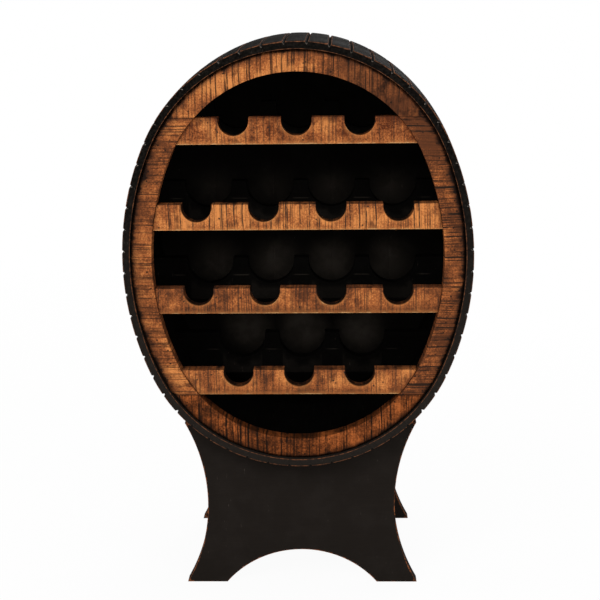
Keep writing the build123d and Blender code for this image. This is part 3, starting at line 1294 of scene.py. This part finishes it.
@dataclass(frozen=True)
class HeadRing:
    """The ring of sawn wood in the barrel's mouth, in four segments."""

    oval: Oval
    wood: SawnWood
    inset: float = 0.0112
    width: float = 0.0318
    bevel: float = 0.004
    arris: float = 0.0009
    cell: float = 0.0055
    turn_per_facet: float = math.radians(2)
    joint_reach: float = 0.004
    joint_grime: float = 0.8
    # How dark the painted shade on the face of the ring's hole is
    hole_shade: float = 0.6
    shade_grime: float = 0.7
    shade_start: float = 0.015
    shade_reach: float = 0.085
    shade_fall: float = 0.06

    @cached_property
    def front(self) -> float:
        """The ring's front face, from the frame."""
        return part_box("ring_top")[0][1]

    @cached_property
    def joints(self) -> Pair:
        """The heights of the upper and lower joints, from the frame."""
        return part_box("ring_top")[0][2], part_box("ring_bottom")[1][2]

    def model_profile(self, name: str, heading: float) -> Piece:
        """Makes the ring's cross-section, bevelled at its outer front corner.

        Args:
            name: The section's name.
            heading: Where on the oval it stands.

        Returns:
            The section, a flat sheet.
        """
        low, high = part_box("ring_top")
        centre, radius = self.oval.arc(heading)
        outer, inner = radius - self.inset, radius - self.inset - self.width
        bevel_end = low.y + self.bevel
        profile = add_sheet(name, (low.y, inner), (high.y, outer))
        with editing(profile, Picked.EVERYTHING):
            bpy.ops.mesh.bisect(plane_co=(0, bevel_end, outer), plane_no=(0, -1, 1), clear_outer=True)
        slice_at(profile, Axis.Z, steps_between(inner, outer - self.bevel, self.cell))
        slice_at(profile, Axis.Y, steps_between(bevel_end, high.y, self.cell))
        profile.rotation_euler.y = heading
        profile.location = centre
        settle(profile)
        return profile

    def model_segment(self, name: str, headings: list[float]) -> Piece:
        """Spins a segment along the oval.

        Args:
            name: The segment's name.
            headings: Where it starts, each heading where one arc passes into the next, and where it ends.

        Returns:
            The segment, longer than it ends up.
        """
        segment = self.model_profile(name, headings[0])
        with editing(segment, Picked.EVERYTHING):
            for start, end in zip(headings, headings[1:]):
                centre, _ = self.oval.arc((start + end) / 2)
                count = math.ceil((end - start) / self.turn_per_facet)
                bpy.ops.mesh.spin(steps=count, angle=end - start, center=centre, axis=(0, -1, 0))
        line_up(segment)
        close_up(segment)
        return segment

    def glaze_and_shade_at(self, place: Vector, edge_width: float) -> float:
        """Finds how dark a place is made: glaze and a painted shadow of the rim on the outer edge, dark glaze
        at the joints, painted shade in the hole, and darker wood.

        Args:
            place: A place on the ring.
            edge_width: How far the glaze and the painted shadow of the rim reach in from the outer edge.

        Returns:
            A share from 0 to 1.
        """
        depth = self.oval.inset(place) - self.inset
        # Glaze and a painted shadow of the rim on the outer edge; painted shade on the hole's face
        outer = 1.0 - max(0.0, depth - self.bevel / 2) / edge_width
        joint = self.joint_grime - min(abs(place.z - level) for level in self.joints) / self.joint_reach
        hole = self.hole_shade * (depth > self.width - TOUCH and place.y > self.front + self.arris / 2)
        return max(0.0, outer, joint, hole, self.shade_grime * self.shade_at(place))

    def shade_at(self, place: Vector) -> float:
        """Finds how dark the wood itself is at a place.

        Args:
            place: A place on the ring.

        Returns:
            A share from 0 to 1, more than 0 only at the top right.
        """
        from_top = (place.x - self.shade_start) / self.shade_reach
        from_joint = 1.0 - (max(self.joints) - place.z) / self.shade_fall
        return max(0.0, min(1.0, from_top, from_joint))

    def finish_segment(self, segment: Piece, node: str, wood: SawnWood, edge_width: float) -> Piece:
        """Softens a segment's edges, marks its glaze and painted shade, and dresses it.

        Args:
            segment: The segment.
            node: The CAD node that it stands for.
            wood: Its finish.
            edge_width: How far the glaze and the painted shadow of the rim reach in from the outer edge.

        Returns:
            The finished segment.
        """
        soften(segment, self.arris)
        for level in self.joints:
            slice_at(segment, Axis.Z, [level + side.value * self.joint_reach for side in Side])
        mark_points(segment, GLAZE_AND_SHADE, lambda place: self.glaze_and_shade_at(place, edge_width))
        mark_points(segment, SHADE, self.shade_at)
        smooth(segment)
        fasten(segment, "sawn_wood", [wood.make(f"sawn_{node}")], node)
        return segment

    def build(self) -> list[Piece]:
        """Models the four segments, which meet at the ends of the first and last rails.

        Returns:
            The segments.
        """
        end = self.oval.end_half_angle
        over = end / 2
        top_joint, bottom_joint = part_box("ring_top")[0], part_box("ring_bottom")[1]
        top = self.model_segment("sawn_ring_top", [-end, end])
        saw_off(top, top_joint, -Axis.Z.unit)
        bottom = self.model_segment("sawn_ring_bottom", [math.pi - end, math.pi + end])
        saw_off(bottom, bottom_joint, Axis.Z.unit)
        right = self.model_segment("sawn_ring_right", [end - over, end, math.pi - end, math.pi - end + over])
        saw_off(right, top_joint, Axis.Z.unit)
        saw_off(right, bottom_joint, -Axis.Z.unit)
        left = mirrored(right, "sawn_ring_left")

        upright = replace(self.wood, mark=srgb(42, 30, 23), scored=1.0)
        level = replace(upright, marks=SawMarks.LEVEL)
        # A darker copy of the wood for the bottom segment: its own darker tone, together with painted shade
        # where less light falls low down
        darker = replace(
            upright,
            light=srgb(172, 94, 46),
            middle=srgb(116, 61, 29),
            deep=srgb(58, 30, 14),
            mark=srgb(26, 17, 11),
        )
        top_wood = replace(upright, plank=5, scored=0.85)
        bottom_wood = replace(darker, plank=6, tone=-0.04)
        right_wood = replace(level, plank=7, tone=-0.14)
        left_wood = replace(level, plank=11, tone=-0.02, scored=0.75)
        return [
            self.finish_segment(top, "ring_top", top_wood, edge_width=0.010),
            self.finish_segment(bottom, "ring_bottom", bottom_wood, edge_width=0.012),
            self.finish_segment(right, "ring_right", right_wood, edge_width=0.017),
            self.finish_segment(left, "ring_left", left_wood, edge_width=0.020),
        ]


@dataclass(frozen=True)
class NotchedRail:
    """A rail with a row of round-bottomed notches in its top edge, scribed to an oval at its ends."""

    oval: Oval
    node: str
    inset: float
    notch_width: float
    notch_depth: float
    notch_places: list[float]
    facets: int = 64

    def model_notches(self, top: float, reach: Pair) -> Piece:
        """Makes one cutter for all the notches: bars whose upper half is drawn out past the rail's top.

        Args:
            top: The height of the rail's top.
            reach: The cutter's two ends in Y.

        Returns:
            The cutter.
        """
        radius = self.notch_width / 2
        middle = top - self.notch_depth + radius
        start = self.notch_places[0]
        first = add_bar("notch", radius, (start, middle), reach, self.facets)
        with editing(first):
            pick_points(first, lambda co: co.z > middle + TOUCH)
            bpy.ops.transform.translate(value=(0, 0, 2 * radius))
        others = [shifted(first, "notch", (place - start, 0, 0)) for place in self.notch_places[1:]]
        return joined([first, *others], "notches")

    def model(self, name: str) -> Piece:
        """Models the rail.

        Args:
            name: The rail's name.

        Returns:
            The rail with sharp edges.
        """
        low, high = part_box(self.node)
        over = Vector((self.notch_width / 2, 0, 0))
        rail = add_block(name, low - over, high + over)
        reach = (low.y - over.x, high.y + over.x)
        carve(rail, self.oval.block("scribe", self.inset, reach), Carve.KEEP_INSIDE)
        carve(rail, self.model_notches(high.z, reach), Carve.TAKE_AWAY)
        close_up(rail)
        return rail


@dataclass(frozen=True)
class NeckRow:
    """One row of necks: its notches, and how light, scored and glazed its rail's wood is."""

    count: int
    pitch: float
    tone: float
    scored: float
    top_glaze: float
    foot_glaze: float
    deep: Colour = SawnWood.deep


@dataclass(frozen=True)
class NeckRails:
    """The four sawn rails in front that hold the bottles' necks."""

    oval: Oval
    wood: SawnWood
    ring_inner: float = 0.0432
    notch_width: float = 0.045
    notch_depth: float = 0.0267
    arris: float = 0.0009
    cell: float = 0.006
    notch_ease: float = 0.0009
    glaze_reach: float = 0.016
    end_glaze: float = 0.55
    # How dark the painted shade is on the rails' tops, and in the notches and behind
    top_shade: float = 0.7
    hidden_shade: float = 0.95
    rows: tuple[NeckRow, ...] = (
        NeckRow(3, 0.0925, tone=-0.07, scored=0.62, top_glaze=0.72, foot_glaze=0.0, deep=srgb(86, 42, 22)),
        NeckRow(4, 0.100, tone=0.07, scored=0.9, top_glaze=0.3, foot_glaze=0.0),
        NeckRow(4, 0.100, tone=-0.10, scored=0.7, top_glaze=0.0, foot_glaze=0.85),
        NeckRow(3, 0.0925, tone=-0.05, scored=0.62, top_glaze=0.0, foot_glaze=0.75),
    )

    def ease_at(self, place: Vector, low: Vector, high: Vector) -> float | None:
        """Finds how much less a rail's edge wears at a place: least at its foot, where the pale wear also
        paints a highlight, more round its notches.

        Args:
            place: A place on the rail.
            low: The rail's lowest corner.
            high: Its highest corner.

        Returns:
            The ease in metres, or None at the ends, the top and the back, which don't wear.
        """
        at_end = self.oval.inset(place) < self.ring_inner + TOUCH
        if at_end or place.z > high.z - self.notch_depth / 2 or place.y > low.y + TOUCH:
            return None
        return 0.0 if place.z < low.z + TOUCH else self.notch_ease

    def glaze_and_shade_at(self, place: Vector, low: Vector, high: Vector, row: NeckRow) -> float:
        """Finds how much dark glaze and painted shade lie at a place: glaze at the ends and along top and
        foot, painted shade on the tops, in the notches and behind.

        Args:
            place: A place on the rail.
            low: The rail's lowest corner.
            high: Its highest corner.
            row: Its row.

        Returns:
            A share from 0 to 1.
        """
        # Painted shade on the tops, in the notches and behind the front
        if place.y > low.y + TOUCH and place.z > low.z + self.arris:
            return self.top_shade if place.z > high.z - TOUCH else self.hidden_shade
        end = self.end_glaze * (1.0 - (self.oval.inset(place) - self.ring_inner) / self.glaze_reach)
        top = row.top_glaze * (1.0 - (high.z - place.z) / self.glaze_reach)
        foot = row.foot_glaze * (1.0 - (place.z - low.z) / self.glaze_reach)
        return max(0.0, end, top, foot)

    def build(self) -> list[Piece]:
        """Models and dresses the rails.

        Returns:
            The rails, from the top down.
        """
        rails = []
        for number, row in enumerate(self.rows, 1):
            node = f"neck_rail_{number}"
            low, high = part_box(node)
            notches = spread(row.count, row.pitch)
            shape = NotchedRail(self.oval, node, self.ring_inner, self.notch_width, self.notch_depth, notches)
            rail = shape.model(f"sawn_{node}")
            weather(rail, lambda place: self.ease_at(place, low, high), self.arris, self.cell)
            mark_points(rail, GLAZE_AND_SHADE, lambda place: self.glaze_and_shade_at(place, low, high, row))
            wood = replace(self.wood, tone=row.tone, scored=row.scored, deep=row.deep, plank=number)
            fasten(rail, "sawn_wood", [wood.make(f"sawn_{node}")], node)
            rails.append(rail)
        return rails


@dataclass(frozen=True)
class CradleRails:
    """The four black rails further in that hold the bottles' bodies."""

    oval: Oval
    paint: BlackPaint
    wall: float = 0.0142
    notch_width: float = 0.076
    notch_depth: float = 0.043
    notch_pitch: float = 0.100
    row_counts: tuple[int, ...] = (3, 4, 4, 3)
    arris: float = 0.001
    cell: float = 0.010
    edge_ease: float = 0.0008
    # Painted light on the front: a pale line where the neck rail's shadow ends, and pools of light that fall
    # through the neck rails' notches
    shadow_edge_drop: float = 0.029
    shadow_edge_width: float = 0.0014
    shadow_edge_overhang: float = 0.02
    shadow_edge_share: float = 0.36
    light_pool_width: float = 0.066
    light_pool_gap: float = 0.008
    light_pool_share: float = 0.2

    def bottle_places(self) -> list[Vector]:
        """Finds where the bottles lie that the rails can hold.

        Returns:
            Their middles, across and up.
        """
        places = []
        for row, count in enumerate(self.row_counts, 1):
            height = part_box(f"cradle_rail_{row}")[1][2] - self.notch_depth + self.notch_width / 2
            places.extend(Vector((across, height)) for across in spread(count, self.notch_pitch))
        return places

    def painted_light_at(self, place: Vector, low: Vector, high: Vector, notches: list[float]) -> float:
        """Finds how much light is painted on at a place: a line across the posts where the neck rail's shadow
        ends, and pools of light below the notches.

        Args:
            place: A place on the rail.
            low: The rail's lowest corner.
            high: Its highest corner.
            notches: The middles of its notches.

        Returns:
            A share from 0 to 1, more than 0 only on the rail's front.
        """
        if place.y > low.y + TOUCH:
            return 0.0
        radius = self.notch_width / 2
        from_notch = min(abs(place.x - middle) for middle in notches)
        if from_notch > radius:
            crossed = abs(place.x) < max(notches) + radius + self.shadow_edge_overhang
            from_line = abs(place.z - high.z + self.shadow_edge_drop)
            return self.shadow_edge_share * (crossed and from_line < self.shadow_edge_width / 2 + TOUCH)
        from_middle = math.hypot(from_notch, place.z - (high.z - self.notch_depth + radius))
        below = from_middle > radius + self.light_pool_gap
        return self.light_pool_share * (below and from_notch < self.light_pool_width / 2)

    def mark_painted_light(self, rail: Piece, node: str, notches: list[float]) -> None:
        """Marks the light painted on a rail's front, with edges along it.

        Args:
            rail: The rail.
            node: The CAD node that it stands for.
            notches: The middles of its notches.
        """
        low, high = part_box(node)
        half_line, half_pool = self.shadow_edge_width / 2, self.light_pool_width / 2
        for reach in (half_line, 2 * half_line):
            slice_at(rail, Axis.Z, [high.z - self.shadow_edge_drop + side.value * reach for side in Side])
        edges = [middle + side.value * half_pool for middle in notches for side in Side]
        slice_at(rail, Axis.X, [edge + side.value * half_line for edge in edges for side in Side])
        mark_points(rail, PAINTED_LIGHT, lambda place: self.painted_light_at(place, low, high, notches))

    def build(self) -> list[Piece]:
        """Models and dresses the rails.

        Returns:
            The rails, from the top down.
        """
        finish = self.paint.make("black_cradle_paint")
        rails = []
        for row, count in enumerate(self.row_counts, 1):
            node = f"cradle_rail_{row}"
            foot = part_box(node)[0][2]
            notches = spread(count, self.notch_pitch)
            shape = NotchedRail(self.oval, node, self.wall, self.notch_width, self.notch_depth, notches)
            rail = shape.model(f"painted_{node}")
            weather(
                rail,
                lambda place: self.edge_ease if place.z > foot + TOUCH else None,
                self.arris,
                self.cell,
            )
            self.mark_painted_light(rail, node, notches)
            fasten(rail, "black_paint", [finish], node)
            rails.append(rail)
        return rails


@dataclass(frozen=True)
class BackBoards:
    """The upright boards that close the back of the barrel, tongued into each other."""

    oval: Oval
    paint: BlackPaint
    inside: BlackPaint
    bottles: list[Vector]
    # Painted pools of light on the boards' front, where light falls through the cradles' notches
    pool_reach: float = 0.058
    pool_drop: float = 0.022
    pool_fade: Pair = (0.40, 0.80)
    count: int = 5
    inset: float = 0.0112
    bevel: float = 0.002
    tongue_length: float = 0.006
    tongue_thickness: float = 0.005
    groove_gap: float = 0.0002
    arris: float = 0.0004
    cell: float = 0.010

    def model_board(self, name: str, low: Vector, high: Vector, first: bool, last: bool) -> Piece:
        """Models a board between two corners, with a tongue on its right edge and a groove in its left one.

        Args:
            name: The board's name.
            low: Its lowest corner.
            high: Its highest corner.
            first: True for the leftmost board, which has no groove.
            last: True for the rightmost board, which has no tongue.

        Returns:
            The board, with its worn edges marked.
        """
        board = add_block(name, low, high)
        middle = (low.y + high.y) / 2
        tongue = self.tongue_thickness / 2
        groove = tongue + self.groove_gap
        with editing(board):
            pick_edges(
                board, lambda one, two: min(one.y, two.y) > high.y - TOUCH and abs(one.x - two.x) < TOUCH
            )
            chamfer(self.bevel)
        slice_at(board, Axis.Y, [middle - groove, middle - tongue, middle + tongue, middle + groove])
        with editing(board):
            if not last:
                self.draw_edge(board, high.x, middle, tongue, self.tongue_length)
            if not first:
                self.draw_edge(board, low.x, middle, groove, self.tongue_length + self.groove_gap)
        line_up(board)
        reach = (low.y - self.cell, high.y + self.cell)
        carve(board, self.oval.block("scribe", self.inset, reach), Carve.KEEP_INSIDE)
        close_up(board)
        weather(
            board,
            lambda place: 0.0 if place.y > high.y - self.bevel / 2 else None,
            self.arris,
            self.cell,
        )
        # Painted pools of light on the front
        mark_points(board, PAINTED_LIGHT, lambda place: self.light_pool_at(place) if place.y < middle else 0.0)
        turn_inside(board, lambda _, facing: facing.y < -FACING)
        return board

    def draw_edge(self, board: Piece, x: float, middle: float, half: float, reach: float) -> None:
        """Draws a strip of an open board's upright edge out into a tongue, or into the board as a groove.

        Args:
            board: The board.
            x: Where the edge is.
            middle: The middle of the strip, in Y.
            half: Half the strip's width.
            reach: How far it is drawn along X.
        """
        pick_points(board, lambda co: abs(co.x - x) < TOUCH / 4 and abs(co.y - middle) < half + TOUCH / 4)
        draw_out((reach, 0, 0))

    def light_pool_at(self, place: Vector) -> float:
        """Finds how much light is painted on a board's front at a place, in pools that fall through the
        cradles' notches.

        Args:
            place: A place on the board.

        Returns:
            A share from 0 to 1, more in the lower rows.
        """
        dropped = Vector((place.x, place.z + self.pool_drop))
        nearest = min((dropped - bottle).length for bottle in self.bottles)
        start, end = self.pool_fade
        use = min(1.0, max(0.0, (end - place.z) / (end - start)))
        return use * max(0.0, 1.0 - nearest / self.pool_reach)

    def build(self) -> list[Piece]:
        """Models the boards side by side across the barrel, and dresses them.

        Returns:
            The boards, from left to right.
        """
        finishes = [self.paint.make("black_back_paint"), self.inside.make("black_back_inside")]
        width = 2 * (self.oval.half_width - self.inset) / self.count
        boards = []
        for index, middle in enumerate(spread(self.count, width), 1):
            node = f"back_board_{index}"
            low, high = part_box(node)
            low.x, high.x = middle - width / 2, middle + width / 2
            board = self.model_board(f"painted_{node}", low, high, index == 1, index == self.count)
            fasten(board, "black_paint", finishes, node)
            boards.append(board)
        return boards


@dataclass(frozen=True)
class Stand:
    """The two waisted panels that carry the barrel, and the stretchers between them."""

    oval: Oval
    paint: BlackPaint
    foot_length: float = 0.064
    arch_rise: float = 0.056
    waist_width: float = 0.296
    waist_height: float = 0.137
    shoulder_width: float = 0.362
    saddle: float = -0.0026
    arris: float = 0.0011
    foot_ease: float = 0.0006
    tenon: float = 0.012
    stretcher_bevel: float = 0.002
    stretcher_arris: float = 0.0005
    cell: float = 0.006
    facets: int = 360

    def waist_bar(self, reach: Pair, high: Vector) -> Piece:
        """Makes the round cutter for the hollow of a panel's right side.

        Args:
            reach: The cutter's two ends in Y.
            high: The panel's highest corner.

        Returns:
            The cutter, whose wall passes through foot, waist and shoulder.
        """
        foot = Vector((high.x, 0.0))
        waist = Vector((self.waist_width / 2, self.waist_height))
        shoulder = Vector((self.shoulder_width / 2, high.z))
        one, two = waist - foot, shoulder - foot
        cross = 2 * (one.x * two.y - one.y * two.x)
        across = (two.y * one.length_squared - one.y * two.length_squared) / cross
        up = (one.x * two.length_squared - two.x * one.length_squared) / cross
        centre = foot + Vector((across, up))
        return add_bar("waist", math.hypot(across, up), (centre.x, centre.y), reach, self.facets)

    def model_panel(self, name: str, node: str) -> Piece:
        """Models a panel in a node's place.

        Args:
            name: The panel's name.
            node: The CAD node that it stands for.

        Returns:
            The panel, with its worn edges marked.
        """
        low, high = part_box(node)
        panel = add_block(name, low, high)
        reach = (low.y - self.foot_length, high.y + self.foot_length)
        half_arch = high.x - self.foot_length
        arch_radius = (half_arch**2 + self.arch_rise**2) / (2 * self.arch_rise)
        right = self.waist_bar(reach, high)
        left = mirrored(right, "waist")
        arch = add_bar("arch", arch_radius, (0, self.arch_rise - arch_radius), reach, self.facets)
        for cutter in (arch, self.oval.block("saddle", self.saddle, reach), right, left):
            carve(panel, cutter, Carve.TAKE_AWAY)
        close_up(panel)
        weather(panel, lambda place: 0.0 if place.z > TOUCH else self.foot_ease, self.arris, self.cell)
        return panel

    def model_stretcher(self, name: str, node: str) -> Piece:
        """Models a stretcher in a node's place, up to the panels' faces.

        Args:
            name: The stretcher's name.
            node: The CAD node that it stands for.

        Returns:
            The stretcher, with its worn edges marked.
        """
        low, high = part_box(node)
        low.y += self.tenon + TOUCH
        high.y -= self.tenon + TOUCH
        stretcher = add_block(name, low, high)
        with editing(stretcher):
            pick_edges(stretcher, lambda one, two: abs(one.y - two.y) > self.tenon)
            chamfer(self.stretcher_bevel)
        weather(stretcher, lambda place: 0.0, self.stretcher_arris, self.cell)
        return stretcher

    def build(self) -> list[Piece]:
        """Models the front panel and the left stretcher, copies each, and dresses all four.

        Returns:
            The panels and the stretchers.
        """
        finish = self.paint.make("black_stand_paint")
        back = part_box("stand_rear_panel")[0][1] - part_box("stand_front_panel")[0][1]
        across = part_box("stretcher_right")[0][0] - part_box("stretcher_left")[0][0]
        front = self.model_panel("painted_stand_front_panel", "stand_front_panel")
        rear = shifted(front, "painted_stand_rear_panel", (0, back, 0))
        left = self.model_stretcher("painted_stretcher_left", "stretcher_left")
        right = shifted(left, "painted_stretcher_right", (across, 0, 0))
        pieces = {
            "stand_front_panel": front,
            "stand_rear_panel": rear,
            "stretcher_left": left,
            "stretcher_right": right,
        }
        for node, piece in pieces.items():
            fasten(piece, "black_paint", [finish], node)
        return list(pieces.values())


@dataclass(frozen=True)
class Hardware:
    """The joints' own pieces, which keep their CAD shapes: dowels, screws and cleats."""

    paint: BlackPaint
    dowel: DowelWood
    steel: ScrewSteel

    def dress(self) -> None:
        """Gives each of the nodes its finish."""
        dressed = {
            self.dowel.make("dowel_wood"): ("rail_dowels", "ring_dowels"),
            self.steel.make("screw_steel"): ("cradle_screws", "stand_screws"),
            self.paint.make("black_cleat_paint"): ("cradle_cleats",),
        }
        for finish, nodes in dressed.items():
            for node in nodes:
                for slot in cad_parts[node].material_slots:
                    slot.material = finish
                LOG.info("%s: CAD shape, %s", node, finish.name)


class Lamp(NamedTuple):
    """A soft square lamp."""

    name: str
    place: Triple
    size: float
    power: float


@dataclass(frozen=True)
class Studio:
    """The pale floor, the soft light and the camera."""

    floor_size: float = 14.0
    floor_grey: Colour = (0.86, 0.86, 0.86, 1.0)
    near_glow: float = 0.95
    fade: Pair = (0.5, 2.6)
    sky: float = 0.42
    lamps: tuple[Lamp, ...] = (
        Lamp("key_lamp", (-1.3, -2.4, 2.3), 1.6, 44.0),
        Lamp("fill_lamp", (1.7, -2.2, 1.5), 1.6, 18.0),
        Lamp("top_lamp", (0.1, 0.4, 2.7), 1.8, 14.0),
        Lamp("rear_lamp", (0.9, 2.5, 1.9), 1.6, 34.0),
    )
    lamp_aim: Triple = (0.0, 0.0, 0.5)
    eye: Triple = (0.0556, -2.080, 0.931)
    pitch: float = math.radians(13.47)
    yaw: float = math.radians(1.59)
    roll: float = math.radians(-0.65)
    lens: float = 78.4
    sensor: float = 36.0
    nearest: float = 0.05

    def white_share(self, bench: NodeBench) -> Socket:
        """Finds the rays that show the background.

        Args:
            bench: The tree that asks.

        Returns:
            1 for rays that are straight, glossy or through glass, 0 for the others.
        """
        rays = bench.add("ShaderNodeLightPath").outputs
        straight_or_glossy = bench.larger(rays["Is Camera Ray"], rays["Is Glossy Ray"])
        return bench.larger(straight_or_glossy, rays["Is Transmission Ray"])

    def lay_floor(self) -> None:
        """Lays a pale floor that keeps the rack's shadow, and is whiter further away."""
        floor = added("studio_floor", bpy.ops.mesh.primitive_plane_add, size=self.floor_size)
        material = bpy.data.materials.new("studio_floor")
        material.use_nodes = True
        bench = NodeBench(material.node_tree)
        bench.tree.nodes.clear()
        matt = bench.add("ShaderNodeBsdfDiffuse", {"Color": self.floor_grey}).outputs["BSDF"]
        glow = bench.add("ShaderNodeEmission").outputs["Emission"]
        spot = bench.add("ShaderNodeTexCoord").outputs["Object"]
        away = bench.add("ShaderNodeVectorMath", {0: spot}, operation="LENGTH").outputs["Value"]
        whiter = bench.span(away, *self.fade, self.near_glow, 1.0, Ramp.STRAIGHT)
        share = bench.times(self.white_share(bench), whiter)
        mixed = bench.add("ShaderNodeMixShader", {0: share, 1: matt, 2: glow}).outputs["Shader"]
        bench.add("ShaderNodeOutputMaterial", {"Surface": mixed})
        floor.data.materials.append(material)

    def light_world(self) -> None:
        """Surrounds the rack with a soft pale light, white where it shows."""
        world = bpy.data.worlds.new("studio_world")
        bpy.context.scene.world = world
        world.use_nodes = True
        bench = NodeBench(world.node_tree)
        background = bench.tree.nodes["Background"].inputs
        level = bench.span(self.white_share(bench), 0.0, 1.0, self.sky, 1.0, Ramp.STRAIGHT)
        bench.feed(background["Color"], (1, 1, 1, 1))
        bench.feed(background["Strength"], level)

    def hang(self, lamp: Lamp) -> None:
        """Hangs a lamp, pointed at the rack.

        Args:
            lamp: The lamp.
        """
        light = added(lamp.name, bpy.ops.object.light_add, type="AREA", location=lamp.place)
        light.data.energy = lamp.power
        light.data.size = lamp.size
        aim = Vector(self.lamp_aim) - Vector(lamp.place)
        light.rotation_euler = aim.to_track_quat("-Z", "Y").to_euler()

    def place_camera(self) -> None:
        """Sets the camera where the photograph was taken from."""
        camera = added("studio_camera", bpy.ops.object.camera_add, location=self.eye)
        aim = Euler((math.pi / 2 - self.pitch, 0, self.yaw)).to_matrix() @ Matrix.Rotation(self.roll, 3, "Z")
        camera.rotation_euler = aim.to_euler()
        camera.data.lens = self.lens
        camera.data.sensor_width = self.sensor
        camera.data.clip_start = self.nearest
        bpy.context.scene.camera = camera

    def build(self) -> None:
        """Sets up the floor, the light and the camera."""
        self.lay_floor()
        self.light_world()
        for lamp in self.lamps:
            self.hang(lamp)
        self.place_camera()
        bpy.context.scene.view_settings.view_transform = "Standard"


def main() -> None:
    """Builds the rack's sub-assemblies in order, then the studio."""
    logging.basicConfig(level=logging.INFO, format="%(message)s")
    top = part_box("stave_top")[1][2]
    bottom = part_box("stave_bottom")[0][2]
    oval = Oval(middle=(top + bottom) / 2)
    wood = SawnWood()
    paint = BlackPaint()
    # The barrel's paint, with painted light that makes it lighter towards the bottom
    barrel = replace(
        paint,
        coat=srgb(11, 10, 9),
        faded=srgb(15, 14, 12),
        rubbed=srgb(118, 75, 50),
        brushed=0.12,
        lower_lit_share=0.5,
    )
    # Inside the barrel the worn edges are grey: wear that also paints the faint highlights along them
    inside = replace(
        paint,
        coat=srgb(10, 9, 8),
        faded=srgb(13, 12, 11),
        rubbed=srgb(98, 90, 82),
        rubbed_deep=srgb(46, 42, 38),
    )
    # The inside paint with painted light, for the cradles' lines and pools of light
    inside_painted_light = replace(inside, painted_light=srgb(80, 73, 66), patchy=0.1)
    # The back boards' inside: a lighter copy of the inside paint that paints the light reaching it, with
    # painted pools of light
    painted_lit = replace(inside_painted_light, coat=srgb(22, 20, 18), faded=srgb(26, 24, 22))
    cradles = CradleRails(oval, inside_painted_light)
    sub_assemblies = [
        StaveShell(oval, barrel, inside),
        HeadRing(oval, wood),
        NeckRails(oval, wood),
        cradles,
        BackBoards(oval, paint, painted_lit, cradles.bottle_places()),
        Stand(oval, replace(paint, grain=(14, 300, 300), rub_width=0.0013)),
    ]
    for sub_assembly in sub_assemblies:
        pieces = sub_assembly.build()
        LOG.info("%s: %d pieces", type(sub_assembly).__name__, len(pieces))
    Hardware(inside, DowelWood(), ScrewSteel()).dress()
    Studio().build()


if __name__ == "__main__":
    main()
